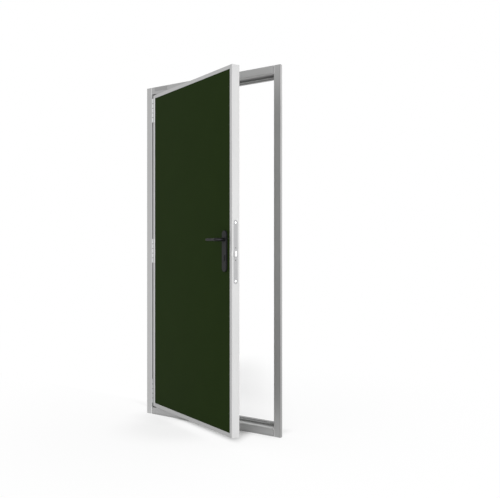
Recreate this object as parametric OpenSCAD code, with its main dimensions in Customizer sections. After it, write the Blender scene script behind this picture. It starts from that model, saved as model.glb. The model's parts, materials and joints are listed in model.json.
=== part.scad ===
// Exterior door leaf in a four-sided frame, hinged on the left and swinging outward.
// X runs across the frame, Y into the building, Z up; the frame stands on Z = 0.

/* [Frame] */
// Outer width of the frame
frame_w = 1020; // [800:1:1300]
// Outer height of the frame
frame_h = 2100; // [1900:1:2500]
// Width of the frame's front face
face_w = 46; // [40:0.5:60]
// Depth of the front flange that laps the wall
flange_d = 20; // [18:0.5:26]
// Depth of the whole frame section
frame_d = 75; // [73:0.5:86]
// Thickness of the hollow web behind the flange
web_t = 10; // [9:0.5:12]
// How far the stop stands into the opening
stop_h = 18.5; // [15:0.5:20]
// Depth of the stop
stop_d = 20; // [18:0.5:22]
// Wall thickness of the frame and leaf sections
wall_t = 2; // [1.5:0.1:2.4]
// Radius of the rounded inner front edge
edge_r = 7; // [4:0.5:11]
// Diameter of the wall anchor holes in the jambs
anchor_d = 10; // [8:0.5:10.5]
// Height of the lowest anchor hole
anchor_z = 300; // [260:5:340]
// Spacing of the anchor holes
anchor_pitch = 500; // [480:5:540]

/* [Leaf] */
// Angle the leaf is drawn open
open_angle = 20; // [4:1:90]
// Thickness of the leaf
leaf_t = 49; // [46:0.5:50]
// Gap between leaf and frame on the hinge side
hinge_gap = 9.5; // [9:0.1:12]
// Gap between leaf and frame on the lock side
lock_gap = 6.5; // [5:0.1:8]
// Gap between leaf and frame at head and sill
end_gap = 6; // [4:0.1:9]
// Width of the edge profile on the hinge side and at the bottom
border_w = 23.5; // [20:0.5:30]
// Width of the edge profile on the lock side
lock_border_w = 20; // [17:0.5:30]
// Width of the edge profile at the top
top_border_w = 21.5; // [18:0.5:30]
// Radius along the edges of the edge profile
border_r = 1.5; // [0.8:0.1:1.9]
// Distance from the leaf's edge to the infill panel
panel_inset = 12; // [11:0.5:14]
// Thickness of the panel's skins
skin_t = 1; // [0.8:0.1:2.5]

/* [Hinges] */
// Length of a hinge
hinge_l = 150; // [120:5:160]
// Diameter of the hinge barrel
knuckle_d = 9.8; // [9.6:0.1:10]
// Diameter of the hinge pin
pin_d = 5; // [4:0.5:6]
// Thickness of a hinge flap
flap_t = 3; // [2.5:0.1:3.4]
// Depth of a hinge flap behind the face
flap_d = 41; // [40:0.5:43]
// How far the pin's axis stands in front of the face
axis_out = 1.2; // [1:0.1:3]
// Distance from the leaf's ends to the outer hinges
hinge_end = 22; // [15:1:60]

/* [Lock] */
// Distance from the leaf's edge to the handle axis
backset = 65; // [60:1:70]
// Height of the handle axis above the leaf's bottom
handle_z = 1060; // [950:1:1100]
// Distance from the handle axis down to the key axis
key_drop = 92; // [88:1:96]
// Length of the forend
forend_l = 344; // [330:1:360]
// Width of the forend
forend_w = 27; // [24:0.5:28]
// Thickness of the forend
forend_t = 3; // [2.5:0.1:3.4]
// How far the latch stands out of the forend
latch_out = 12; // [10:0.5:13]
// Height of the latch head
latch_h = 30; // [26:0.5:32]
// Thickness of the latch head
latch_t = 18; // [15:0.5:18]
// Thickness of the lock case
case_t = 22; // [21.5:0.5:23]
// Depth of the lock case behind the forend
case_d = 91; // [90:0.5:93]

/* [Handle] */
// Length of a backplate
plate_l = 223; // [218:1:230]
// Width of a backplate
plate_w = 40; // [36:0.5:44]
// Thickness of a backplate
plate_t = 9; // [7:0.5:11]
// Reach of the lever from its axis
lever_l = 107; // [100:1:135]
// Distance from the leaf's face to the grip's axis
lever_out = 55; // [50:0.5:62]
// Distance from the leaf's inner face to the inner grip's axis
inner_lever_out = 38; // [35:0.5:40]
// Diameter of the grip
grip_d = 16; // [14:0.5:18]
// Diameter of the lever's collar
collar_d = 22; // [20:0.5:24]
// Width across the flats of the spindle
spindle_a = 8; // [7:0.5:9]

/* [Hidden] */
$fn = 48;
// Clearances: sliding, turning, seated, closed gasket, between knuckles
slide_c = 0.4;
turn_c = 0.1;
seat_c = 0.05;
gasket_c = 0.5;
knuckle_c = 0.4;
// Frame
front_y = -flange_d / 2;
half_w = frame_w / 2;
clear_u = face_w + stop_h;
stop_v = frame_d - stop_d;
groove_w = 4;
groove_d = 5;
groove_u = face_w + stop_h / 2;
chamber_u = face_w - web_t + wall_t;
chamber_w = web_t - 2 * wall_t;
port_u = face_w - web_t / 2;
port_r = chamber_w / 2 + 0.2;
port_v = [flange_d + 3.4, stop_v - wall_t - 5];
port_hole_r = 1.9;
screw_r = port_hole_r - seat_c;
corner_head_r = 3.2;
corner_head_h = corner_head_r - screw_r;
corner_grip = 26;
anchor_v = (port_v[0] + port_v[1]) / 2;
anchor_n = 4;
// Leaf, placed by its closed corner and turned about the hinge axis
leaf_w = frame_w - 2 * face_w - hinge_gap - lock_gap;
leaf_h = frame_h - 2 * (face_w + end_gap);
leaf_z = face_w + end_gap;
leaf_x = -half_w + face_w + hinge_gap;
axis_x = -half_w + face_w + hinge_gap / 2;
axis_y = front_y - axis_out;
lip_t = 0.8;
mitre_over = 0.05;
panel_v = lip_t;
panel_t = leaf_t - 2 * lip_t;
mid_v = leaf_t / 2;
// Hinges
knuckle_n = 5;
knuckle_l = hinge_l / knuckle_n;
hinge_zs = [
  leaf_z + hinge_end + hinge_l / 2,
  leaf_z + leaf_h / 2,
  leaf_z + leaf_h - hinge_end - hinge_l / 2
];
flap_x = hinge_gap / 2 - flap_t;
notch_y = knuckle_d / 2 + 1;
hinge_screw_vs = [flap_d - 11.5, flap_d - 6];
hinge_screw_zs = [-0.38, -0.13, 0.13, 0.38];
hinge_screw_r = 2.4;
hinge_head_r = 4.4;
hinge_head_h = 2.2;
backing_t = 5;
backing_v = flap_d - 14;
backing_w = 14;
// Lock, in leaf coordinates
handle_x = leaf_w - backset;
key_z = handle_z - key_drop;
latch_z = key_z + 15.5;
latch_throw = latch_out + 0.5;
forend_rise = 25;
forend_z = key_z + forend_rise;
case_x = leaf_w - forend_t - case_d;
case_v = mid_v - case_t / 2;
case_below = 43;
case_above = 33;
case_z0 = key_z - case_below;
case_z1 = handle_z + case_above;
case_wall = 1.5;
inner_t = case_t - 2 * case_wall;
hub_r = 9;
follower_r = 11;
arm_r = 20;
arm_w = 8;
tail_t = 10;
key_screw_z = key_z - 20;
case_screw_rise = 31.5;
case_screw_z = latch_z + case_screw_rise;
low_screw_end = 16;
high_screw_end = 14.5;
forend_screw_zs = [forend_z - forend_l / 2 + low_screw_end, forend_z + forend_l / 2 - high_screw_end];
edge_screw_r = 2.2;
end_head_r = 4.6;
small_head_r = 3.3;
latch_body = 25;
tail_back = 33;
lug_l = 40;
lug_w = forend_w + 3;
lug_d = 9;
lug_end = 12;
// Cylinder of the lock
cyl_r = 8.5;
cyl_w = 10;
cyl_drop = 24.5;
cyl_proud = 3;
cyl_l = leaf_t + 2 * (plate_t + cyl_proud);
plug_r = 6.4;
cam_t = 9.6;
cam_gap = 10.4;
cam_r = 15;
// Handle plates
plate_top = 49;
plate_mid_z = handle_z + plate_top - plate_l / 2;
plate_bolt_rise = 38;
plate_bolt_end = 17;
plate_bolt_zs = [handle_z + plate_bolt_rise, handle_z + plate_top - plate_l + plate_bolt_end];
plate_bolt_r = 2.5;
neck_r = 9;
bend_r = 17;
collar_h = 6;
taper_l = 24;
// Strike
strike_l = 90;
strike_w = 26;
strike_t = 2;
strike_screw_dz = 36;

// Placing

module in_leaf() {
  translate([axis_x, axis_y, 0])
    rotate([0, 0, -open_angle])
      translate([leaf_x - axis_x, front_y - axis_y, leaf_z])
        children();
}

module at_hinge(i) {
  translate([axis_x, axis_y, hinge_zs[i]]) children();
}

// A hinge half that follows the leaf
module at_open_hinge(i) {
  at_hinge(i) rotate([0, 0, -open_angle]) children();
}

// Depth direction as the axis of a cylinder or extrusion
module along_y(y) {
  translate([0, y, 0]) rotate([-90, 0, 0]) children();
}

module along_x(x) {
  translate([x, 0, 0]) rotate([0, 90, 0]) children();
}

// Frame section: u from the outer edge inward, v from the front back

module rounded_flange(inset) {
  r = edge_r - inset;
  translate([inset, inset]) square([face_w - edge_r - inset, flange_d - 2 * inset]);
  translate([inset, edge_r]) square([face_w - 2 * inset, flange_d - edge_r - inset]);
  translate([face_w - edge_r, edge_r]) circle(r);
}

module frame_section() {
  difference() {
    union() {
      difference() {
        union() {
          rounded_flange(0);
          translate([face_w - web_t, flange_d - 1]) square([web_t, frame_d - flange_d + 1]);
          translate([face_w - 1, stop_v]) square([stop_h + 1, stop_d]);
        }
        rounded_flange(wall_t);
        translate([chamber_u, flange_d]) square([chamber_w, stop_v - wall_t - flange_d]);
        translate([chamber_u, stop_v + groove_d + wall_t])
          square([chamber_w + stop_h, stop_d - groove_d - 2 * wall_t]);
        translate([groove_u - groove_w / 2, stop_v - 1]) square([groove_w, groove_d + 1]);
      }
      for (v = port_v) translate([port_u, v]) circle(port_r);
    }
    for (v = port_v) translate([port_u, v]) circle(port_hole_r);
  }
}

module corner_holes() {
  for (z = [port_u, frame_h - port_u])
    for (v = port_v)
      translate([0, front_y + v, z])
        along_x(-half_w + face_w - web_t) {
          translate([0, 0, -1]) cylinder(r = port_hole_r + 0.2, h = web_t + 2);
          translate([0, 0, -0.01])
            cylinder(r1 = corner_head_r + seat_c, r2 = screw_r + seat_c, h = corner_head_h);
        }
}

module jamb() {
  difference() {
    translate([-half_w, front_y, 0]) linear_extrude(frame_h) frame_section();
    corner_holes();
    for (i = [0 : anchor_n - 1])
      translate([0, front_y + anchor_v, anchor_z + i * anchor_pitch])
        along_x(-half_w + face_w - web_t - 1) cylinder(d = anchor_d, h = web_t + 2);
  }
}

module hinge_jamb() {
  color("Silver")
    difference() {
      jamb();
      for (i = [0 : 2]) at_hinge(i) hinge_screw_places(-hinge_gap / 2, -1)
        translate([0, 0, -0.5]) cylinder(r = hinge_screw_r + 0.1, h = wall_t + 1);
    }
}

module strike_window(grow) {
  translate([half_w - face_w - 1, front_y + mid_v - latch_t / 2 - grow, leaf_z + latch_z - latch_h / 2 - grow])
    cube([wall_t + 6, latch_t + 2 * grow, latch_h + 2 * grow]);
}

module lock_jamb() {
  color("Silver")
    difference() {
      mirror([1, 0, 0]) jamb();
      strike_window(1.5);
      strike_screw_places() cylinder(r = screw_r + seat_c, h = wall_t + 1);
    }
}

// A cross piece between the jambs, its stop coped back to the jambs' stops
module cross_piece() {
  run = frame_w - 2 * face_w;
  difference() {
    translate([run / 2, front_y, 0]) rotate([0, -90, 0]) linear_extrude(run) frame_section();
    for (s = [-1, 1])
      translate([s * (half_w - face_w) - stop_h, front_y + stop_v, -1])
        cube([2 * stop_h, stop_d + 1, clear_u + 2]);
  }
}

module head() {
  color("Silver") translate([0, 0, frame_h]) mirror([0, 0, 1]) cross_piece();
}

module sill() {
  color("Silver") cross_piece();
}

// Gasket: a foot in the groove and a hollow bulb toward the closed leaf
module gasket_section() {
  bulb_r = (stop_v - leaf_t - gasket_c) / 2;
  foot_w = groove_w - 2 * seat_c;
  difference() {
    union() {
      translate([-foot_w / 2, -bulb_r]) square([foot_w, groove_d - seat_c + bulb_r]);
      translate([0, -bulb_r]) circle(bulb_r);
    }
    translate([0, -bulb_r]) circle(bulb_r - 1);
  }
}

module gasket_run(length) {
  linear_extrude(length) gasket_section();
}

module jamb_gaskets() {
  run = frame_h - 2 * face_w;
  color("DimGray")
    for (s = [-1, 1])
      translate([s * (half_w - groove_u), front_y + stop_v, face_w]) gasket_run(run);
}

module cross_gasket() {
  run = frame_w - 2 * clear_u;
  translate([run / 2, front_y + stop_v, groove_u]) rotate([0, -90, 0]) gasket_run(run);
}

module head_gasket() {
  color("DimGray") translate([0, 0, frame_h]) mirror([0, 0, 1]) cross_gasket();
}

module sill_gasket() {
  color("DimGray") cross_gasket();
}

module corner_screws() {
  color("Gainsboro")
    for (s = [0, 1])
      mirror([s, 0, 0])
        for (z = [port_u, frame_h - port_u])
          for (v = port_v)
            translate([0, front_y + v, z])
              along_x(-half_w + face_w - web_t) {
                cylinder(r1 = corner_head_r, r2 = screw_r, h = corner_head_h);
                cylinder(r = screw_r, h = web_t + corner_grip);
              }
}

// Strike

module strike_screw_places() {
  for (s = [-1, 1])
    translate([half_w - face_w - strike_t, front_y + mid_v + 9.5, leaf_z + latch_z + s * strike_screw_dz])
      rotate([0, 90, 0]) translate([0, 0, strike_t - 0.5]) children();
}

module strike_plate() {
  color("LightGray")
    difference() {
      translate([half_w - face_w - strike_t, front_y + mid_v - strike_w / 2 + 2, leaf_z + latch_z - strike_l / 2])
        cube([strike_t, strike_w, strike_l]);
      strike_window_through();
      strike_screw_places() translate([0, 0, 0.5 - strike_t - 0.01]) {
        cylinder(r = screw_r + seat_c, h = strike_t + 1);
        cylinder(r1 = 3.6 + seat_c, r2 = screw_r + seat_c, h = 1.7);
      }
    }
}

module strike_window_through() {
  translate([-strike_t - 1, 0, 0]) strike_window(0.8);
}

module strike_screws() {
  color("Gainsboro")
    strike_screw_places() translate([0, 0, 0.5 - strike_t]) {
      cylinder(r1 = 3.6, r2 = screw_r, h = 1.7);
      cylinder(r = screw_r, h = strike_t + wall_t + 2.5);
    }
}

// Hinges: the pin's axis is the local Z, flaps run back along Y

module hinge_screw_places(x, side) {
  for (i = [0 : 3])
    translate([x, axis_out + hinge_screw_vs[i % 2], hinge_screw_zs[i] * hinge_l])
      rotate([0, side * 90, 0]) children();
}

module hinge_screw_hole() {
  translate([0, 0, -flap_t - 0.01]) {
    cylinder(r = hinge_screw_r + seat_c, h = flap_t + 1);
    cylinder(r1 = hinge_head_r + seat_c, r2 = hinge_screw_r + seat_c, h = hinge_head_h);
  }
}

module hinge_screw(depth) {
  translate([0, 0, -flap_t])
    difference() {
      union() {
        cylinder(r1 = hinge_head_r, r2 = hinge_screw_r, h = hinge_head_h);
        cylinder(r = hinge_screw_r, h = flap_t + depth);
      }
      cross_recess(hinge_screw_r, 1.2);
    }
}

// Flap with the knuckles whose numbers have the given remainder
module flap(first, x0, pin_c) {
  difference() {
    union() {
      translate([x0, notch_y, -hinge_l / 2]) cube([flap_t, flap_d + axis_out - notch_y, hinge_l]);
      for (k = [first : 2 : knuckle_n - 1])
        translate([0, 0, -hinge_l / 2 + k * knuckle_l + knuckle_c / 2]) {
          cylinder(d = knuckle_d, h = knuckle_l - knuckle_c);
          translate([x0, 0, 0]) cube([flap_t, notch_y + 1, knuckle_l - knuckle_c]);
        }
    }
    translate([0, 0, -hinge_l / 2 - 1]) cylinder(r = pin_d / 2 + pin_c, h = hinge_l + 2);
    hinge_screw_places(x0 < 0 ? -hinge_gap / 2 : hinge_gap / 2, x0 < 0 ? -1 : 1) hinge_screw_hole();
  }
}

module frame_flap(i) {
  color("LightGray") at_hinge(i) flap(0, -hinge_gap / 2, seat_c);
}

module leaf_flap(i) {
  color("LightGray") at_open_hinge(i) flap(1, flap_x, turn_c);
}

module bottom_frame_flap() {
  frame_flap(0);
}

module middle_frame_flap() {
  frame_flap(1);
}

module top_frame_flap() {
  frame_flap(2);
}

module bottom_leaf_flap() {
  leaf_flap(0);
}

module middle_leaf_flap() {
  leaf_flap(1);
}

module top_leaf_flap() {
  leaf_flap(2);
}

// Pin with a low button on each end
module hinge_pin(i) {
  color("Gainsboro")
    at_hinge(i) {
      translate([0, 0, -hinge_l / 2]) cylinder(d = pin_d, h = hinge_l);
      for (s = [0, 1])
        mirror([0, 0, s])
          translate([0, 0, hinge_l / 2]) cylinder(r1 = knuckle_d / 2 - 0.5, r2 = knuckle_d / 2 - 1.5, h = 1.5);
    }
}

module bottom_pin() {
  hinge_pin(0);
}

module middle_pin() {
  hinge_pin(1);
}

module top_pin() {
  hinge_pin(2);
}

module frame_flap_screws() {
  color("Gainsboro")
    for (i = [0 : 2]) at_hinge(i) hinge_screw_places(-hinge_gap / 2, -1) hinge_screw(wall_t + backing_t);
}

module leaf_flap_screws() {
  color("Gainsboro")
    for (i = [0 : 2]) at_open_hinge(i) hinge_screw_places(hinge_gap / 2, 1) hinge_screw(wall_t + backing_t);
}

// Tapped plates behind the hinge flaps
module backing(x0) {
  difference() {
    translate([x0, axis_out + backing_v, -hinge_l / 2]) cube([backing_t, backing_w, hinge_l]);
    hinge_screw_places(x0 < 0 ? -hinge_gap / 2 : hinge_gap / 2, x0 < 0 ? -1 : 1)
      cylinder(r = hinge_screw_r + seat_c, h = wall_t + backing_t + 1);
  }
}

module jamb_backings() {
  color("Gray") for (i = [0 : 2]) at_hinge(i) backing(-hinge_gap / 2 - wall_t - backing_t);
}

module stile_backings() {
  color("Gray") for (i = [0 : 2]) at_open_hinge(i) backing(hinge_gap / 2 + wall_t);
}

// Leaf edge profile: p from the leaf's edge inward, v from its outer face

module border_section(w) {
  difference() {
    union() {
      translate([border_r, 0]) square([w - border_r, leaf_t]);
      translate([0, border_r]) square([w, leaf_t - 2 * border_r]);
      for (v = [border_r, leaf_t - border_r]) translate([border_r, v]) circle(border_r);
    }
    translate([wall_t, lip_t]) square([w, leaf_t - 2 * lip_t]);
  }
}

// Prism that trims a run of edge profile to mitred ends
module mitre_prism(points) {
  translate([0, leaf_t + 1, 0]) rotate([90, 0, 0]) linear_extrude(leaf_t + 2) polygon(points);
}

// Upright of width w between mitres to the rails below and above it
module stile(w, above) {
  k = 1 + mitre_over;
  intersection() {
    linear_extrude(leaf_h) border_section(w);
    mitre_prism([
      [-mitre_over * w, -mitre_over * border_w], [k * w, k * border_w],
      [k * w, leaf_h - k * above], [-mitre_over * w, leaf_h + mitre_over * above]
    ]);
  }
}

// Cross piece of width w between mitres to the hinge stile and the lock stile
module rail(w) {
  k = 1 + mitre_over;
  intersection() {
    translate([leaf_w, 0, 0]) rotate([0, -90, 0]) linear_extrude(leaf_w) border_section(w);
    mitre_prism([
      [-mitre_over * border_w, -mitre_over * w], [leaf_w + mitre_over * lock_border_w, -mitre_over * w],
      [leaf_w - k * lock_border_w, k * w], [k * border_w, k * w]
    ]);
  }
}

module hinge_stile() {
  color("Silver")
    difference() {
      in_leaf() stile(border_w, top_border_w);
      for (i = [0 : 2]) at_open_hinge(i) hinge_screw_places(hinge_gap / 2, 1)
        translate([0, 0, -0.5]) cylinder(r = hinge_screw_r + 0.1, h = wall_t + 1);
    }
}

module lock_stile() {
  color("Silver")
    in_leaf()
      difference() {
        translate([leaf_w, 0, 0]) mirror([1, 0, 0]) stile(lock_border_w, top_border_w);
        forend_shape(-wall_t - 1, wall_t + 2, seat_c);
      }
}

module top_rail() {
  color("Silver") in_leaf() translate([0, 0, leaf_h]) mirror([0, 0, 1]) rail(top_border_w);
}

module bottom_rail() {
  color("Silver") in_leaf() rail(border_w);
}

// Holes through the panel for the handle, the cylinder and the plate bolts
module face_holes() {
  translate([handle_x, 0, handle_z]) along_y(-1) cylinder(r = hub_r + 2, h = leaf_t + 2);
  translate([handle_x, 0, key_z]) along_y(-1) linear_extrude(leaf_t + 2) cylinder_outline(1);
  for (z = plate_bolt_zs)
    translate([handle_x, 0, z]) along_y(-1) cylinder(r = plate_bolt_r + 0.5, h = leaf_t + 2);
}

module panel_slab(v0, t) {
  translate([panel_inset, v0, panel_inset]) cube([leaf_w - 2 * panel_inset, t, leaf_h - 2 * panel_inset]);
}

module case_pocket() {
  translate([case_x - 1, case_v - 1, case_z0 - 1]) cube([case_d + 10, case_t + 2, case_z1 - case_z0 + 2]);
}

module outer_skin() {
  color("DarkOliveGreen")
    in_leaf()
      difference() {
        panel_slab(panel_v, skin_t);
        face_holes();
      }
}

module inner_skin() {
  color("DarkOliveGreen")
    in_leaf()
      difference() {
        panel_slab(panel_v + panel_t - skin_t, skin_t);
        face_holes();
      }
}

module panel_core() {
  color("Wheat")
    in_leaf()
      difference() {
        panel_slab(panel_v + skin_t, panel_t - 2 * skin_t);
        face_holes();
        case_pocket();
      }
}

// Angle pieces that hold the mitred corners together
module corner_cleats() {
  leg = 70;
  thick = panel_inset - wall_t - 2;
  deep = leaf_t - 2 * wall_t - 4;
  color("Gray")
    in_leaf()
      for (sx = [0, 1])
        for (sz = [0, 1])
          translate([sx * leaf_w, mid_v, sz * leaf_h])
            mirror([sx, 0, 0])
              mirror([0, 0, sz])
                translate([wall_t, -deep / 2, wall_t]) {
                  cube([leg, deep, thick]);
                  cube([thick, deep, sx == 0 ? hinge_end - wall_t - 3 : leg]);
                }
}

// Lock

module forend_shape(x0, t, grow) {
  r = forend_w / 2;
  translate([leaf_w + x0, mid_v, forend_z]) rotate([0, 90, 0]) linear_extrude(t) {
    square([forend_l - forend_w, forend_w + 2 * grow], center = true);
    for (s = [-1, 1]) translate([s * (forend_l / 2 - r), 0]) circle(r + grow);
  }
}

module countersink(z, x_depth, head_r) {
  translate([leaf_w, mid_v, z]) rotate([0, -90, 0]) {
    translate([0, 0, -0.01])
      cylinder(r1 = head_r + seat_c, r2 = edge_screw_r + seat_c, h = head_r - edge_screw_r);
    cylinder(r = edge_screw_r + seat_c, h = x_depth);
  }
}

module latch_window(x0, length, grow) {
  translate([leaf_w + x0, mid_v - latch_t / 2 - grow, latch_z - latch_h / 2 - grow])
    cube([length, latch_t + 2 * grow, latch_h + 2 * grow]);
}

module forend() {
  color("LightGray")
    in_leaf()
      difference() {
        forend_shape(-forend_t, forend_t, 0);
        latch_window(-forend_t - 1, forend_t + 2, slide_c);
        for (z = forend_screw_zs) countersink(z, forend_t + 1, end_head_r);
        for (z = [key_screw_z, case_screw_z]) countersink(z, forend_t + 1, small_head_r);
      }
}

// Blocks behind the edge that take the forend's end screws
module forend_lugs() {
  color("Gray")
    in_leaf()
      for (i = [0, 1])
        difference() {
          union() {
            translate([leaf_w - lug_d, mid_v - lug_w / 2, forend_screw_zs[i] - lug_l / 2])
              cube([lug_d - forend_t, lug_w, lug_l]);
            translate([leaf_w - lug_d, mid_v - lug_w / 2, forend_screw_zs[i]])
              mirror([0, 0, 1 - i]) translate([0, 0, lug_l / 2]) cube([lug_d - wall_t, lug_w, lug_end]);
          }
          translate([leaf_w, mid_v, forend_screw_zs[i]]) rotate([0, -90, 0])
            cylinder(r = edge_screw_r + seat_c, h = lug_d + 3);
        }
}

module forend_screws() {
  color("Gainsboro")
    in_leaf() {
      for (z = forend_screw_zs) forend_screw(z, lug_d, end_head_r);
      forend_screw(case_screw_z, forend_t + 2, small_head_r);
    }
}

module forend_screw(z, length, head_r) {
  translate([leaf_w, mid_v, z]) rotate([0, -90, 0])
    difference() {
      union() {
        cylinder(r1 = head_r, r2 = edge_screw_r, h = head_r - edge_screw_r);
        cylinder(r = edge_screw_r, h = length);
      }
      cross_recess(edge_screw_r, 0.9);
    }
}

// Crossed slots sunk into a screw head from its flat side
module cross_recess(reach, depth) {
  for (a = [0, 90]) rotate([0, 0, a]) translate([-reach, -0.5, -1]) cube([2 * reach, 1, depth + 1]);
}

module cylinder_outline(grow) {
  circle(cyl_r + grow);
  translate([-cyl_w / 2 - grow, 0]) square([cyl_w + 2 * grow, cyl_drop - cyl_w / 2]);
  translate([0, cyl_drop - cyl_w / 2]) circle(cyl_w / 2 + grow);
}

module at_key() {
  translate([handle_x, 0, key_z]) children();
}

module at_handle() {
  translate([handle_x, 0, handle_z]) children();
}

// Tray of the lock case, open toward the inner face
module lock_case() {
  color("Gray")
    in_leaf()
      difference() {
        translate([case_x, case_v, case_z0]) cube([case_d, case_t - case_wall, case_z1 - case_z0]);
        translate([case_x + case_wall, case_v + case_wall, case_z0 + case_wall])
          cube([case_d - case_wall - 2, case_t, case_z1 - case_z0 - 2 * case_wall]);
        latch_window(-forend_t - 3, 4, slide_c);
        at_handle() along_y(case_v - 1) cylinder(r = hub_r + turn_c, h = case_wall + 2);
        at_key() along_y(case_v - 1) linear_extrude(case_wall + 2) cylinder_outline(0.2);
        for (z = [key_screw_z, case_screw_z]) countersink(z, forend_t + 4, small_head_r);
      }
}

module lock_cover() {
  color("DarkGray")
    in_leaf()
      difference() {
        translate([case_x, case_v + case_t - case_wall, case_z0]) cube([case_d, case_wall, case_z1 - case_z0]);
        at_handle() along_y(case_v + case_t - case_wall - 1) cylinder(r = hub_r + turn_c, h = case_wall + 2);
        at_key() along_y(case_v + case_t - case_wall - 1) linear_extrude(case_wall + 2) cylinder_outline(0.2);
      }
}

// Latch head bevelled toward the building, with a tail that hooks behind the follower's arm
module latch_bolt() {
  head_l = latch_out + forend_t + latch_body;
  tail_x = leaf_w - forend_t - tail_back;
  lug_x1 = handle_x - arm_w / 2 - 1;
  bar_z = handle_z + arm_r + 2;
  color("Gainsboro")
    in_leaf()
      difference() {
        union() {
          translate([leaf_w + latch_out - head_l, mid_v - latch_t / 2, latch_z - latch_h / 2])
            cube([head_l, latch_t, latch_h]);
          translate([tail_x, mid_v - tail_t / 2, latch_z - 5]) cube([9, tail_t, bar_z + 13 - latch_z]);
          translate([lug_x1 - 6, mid_v - tail_t / 2, bar_z]) cube([tail_x + 1 - lug_x1 + 6, tail_t, 8]);
          translate([lug_x1 - 6, mid_v - tail_t / 2, handle_z + 11.5])
            cube([6, tail_t, bar_z + 1 - handle_z - 11.5]);
        }
        translate([leaf_w + latch_out, mid_v + latch_t / 2 - latch_out, latch_z - latch_h / 2 - 1])
          rotate([0, 0, 45]) cube([2 * latch_t, 2 * latch_t, latch_h + 2]);
      }
}

// Follower with bearing hubs, a square bore and the arm that draws the latch
module follower() {
  body_t = inner_t - 2 * slide_c;
  color("Goldenrod")
    in_leaf()
      at_handle()
        difference() {
          union() {
            along_y(mid_v - body_t / 2) cylinder(r = follower_r, h = body_t);
            along_y(case_v) cylinder(r = hub_r, h = case_t);
            translate([-arm_w / 2, mid_v - tail_t / 2, 0]) cube([arm_w, tail_t, arm_r]);
          }
          spindle_bar(case_v - 1, case_t + 2, seat_c);
        }
}

module spindle_bar(y0, length, grow) {
  a = spindle_a + 2 * grow;
  translate([-a / 2, y0, -a / 2]) cube([a, length, a]);
}

module spindle() {
  outer_reach = lever_out - bend_r - 4;
  inner_reach = inner_lever_out - bend_r - 4;
  color("Gainsboro")
    in_leaf()
      at_handle() spindle_bar(-outer_reach, leaf_t + outer_reach + inner_reach, 0);
}

// Neck of the lever: hub in the backplate, collar and shank, as half a section
module neck_profile(out) {
  shank = out - bend_r - plate_t - collar_h;
  hub_end = out - bend_r - 1;
  polygon([
    [0, 0], [neck_r, 0], [neck_r, shank], [collar_d / 2, shank],
    [collar_d / 2, shank + collar_h - slide_c], [neck_r, shank + collar_h - slide_c],
    [neck_r, hub_end], [0, hub_end]
  ]);
}

// Grip, tapering from the neck to a domed end, as half a section
module grip_profile() {
  grip_r = grip_d / 2;
  straight = lever_l - bend_r - grip_r;
  polygon([[0, 0], [neck_r, 0], [grip_r, taper_l], [grip_r, straight], [0, straight]]);
  intersection() {
    translate([0, straight]) circle(grip_r);
    translate([0, straight - 1]) square([grip_r, grip_r + 1]);
  }
}

// Lever on the outer side, its grip pointing to the hinges
module lever(out) {
  difference() {
    union() {
      along_y(-out + bend_r) rotate_extrude() neck_profile(out);
      translate([-bend_r, -out + bend_r, 0]) rotate([0, 0, -90])
        rotate_extrude(angle = 90) translate([bend_r, 0]) circle(neck_r);
      translate([-bend_r, -out, 0]) rotate([0, -90, 0]) rotate_extrude() grip_profile();
    }
    spindle_bar(-out + bend_r + 3.9, out, seat_c);
  }
}

module outer_lever() {
  color("DimGray") in_leaf() at_handle() lever(lever_out);
}

module inner_lever() {
  color("DimGray")
    in_leaf()
      at_handle() translate([0, leaf_t, 0]) mirror([0, 1, 0]) lever(inner_lever_out);
}

// Backplate against the outer face, full round at both ends
module backplate_shape() {
  r = plate_w / 2;
  translate([handle_x, 0, plate_mid_z]) along_y(-plate_t) linear_extrude(plate_t + panel_v) {
    square([plate_w, plate_l - plate_w], center = true);
    for (s = [-1, 1]) translate([0, s * (plate_l / 2 - r)]) circle(r);
  }
}

module plate_openings() {
  at_handle() along_y(-plate_t - 1) cylinder(r = neck_r + turn_c, h = plate_t + 2);
  at_key() along_y(-plate_t - 1) linear_extrude(plate_t + 2) cylinder_outline(0.2);
}

module outer_backplate() {
  color("DimGray")
    in_leaf()
      difference() {
        backplate_shape();
        plate_openings();
        for (z = plate_bolt_zs) translate([handle_x, 0, z])
          along_y(-plate_t + 2) cylinder(r = plate_bolt_r + seat_c, h = plate_t);
      }
}

module inner_backplate() {
  color("DimGray")
    in_leaf()
      translate([0, leaf_t, 0]) mirror([0, 1, 0])
        difference() {
          backplate_shape();
          plate_openings();
          for (z = plate_bolt_zs) translate([handle_x, 0, z]) {
            along_y(-plate_t - 1) cylinder(r = plate_bolt_r + seat_c, h = plate_t + 2);
            along_y(-plate_t - 0.01) cylinder(r1 = 5 + seat_c, r2 = plate_bolt_r + seat_c, h = 2.6);
          }
        }
}

module plate_bolts() {
  color("Gainsboro")
    in_leaf()
      for (z = plate_bolt_zs) translate([handle_x, leaf_t, z]) mirror([0, 1, 0])
        difference() {
          union() {
            along_y(-plate_t) cylinder(r1 = 5, r2 = plate_bolt_r, h = 2.6);
            along_y(-plate_t) cylinder(r = plate_bolt_r, h = leaf_t + 2 * plate_t - 3);
          }
          for (a = [0, 90]) rotate([0, a, 0]) translate([-2.6, -plate_t - 1, -0.5]) cube([5.2, 2.2, 1]);
        }
}

// Cylinder body, slotted in the middle for the cam
module cylinder_body() {
  color("Gainsboro")
    in_leaf()
      at_key()
        difference() {
          along_y(mid_v - cyl_l / 2) linear_extrude(cyl_l) cylinder_outline(0);
          along_y(mid_v - cyl_l / 2 - 1) cylinder(r = plug_r + turn_c, h = cyl_l + 2);
          along_y(mid_v - cam_gap / 2) cylinder(r = cam_r + 0.4, h = cam_gap);
          translate([-cyl_w, mid_v, key_screw_z - key_z]) rotate([0, 90, 0])
            cylinder(r = edge_screw_r + seat_c, h = 2 * cyl_w);
        }
}

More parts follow.
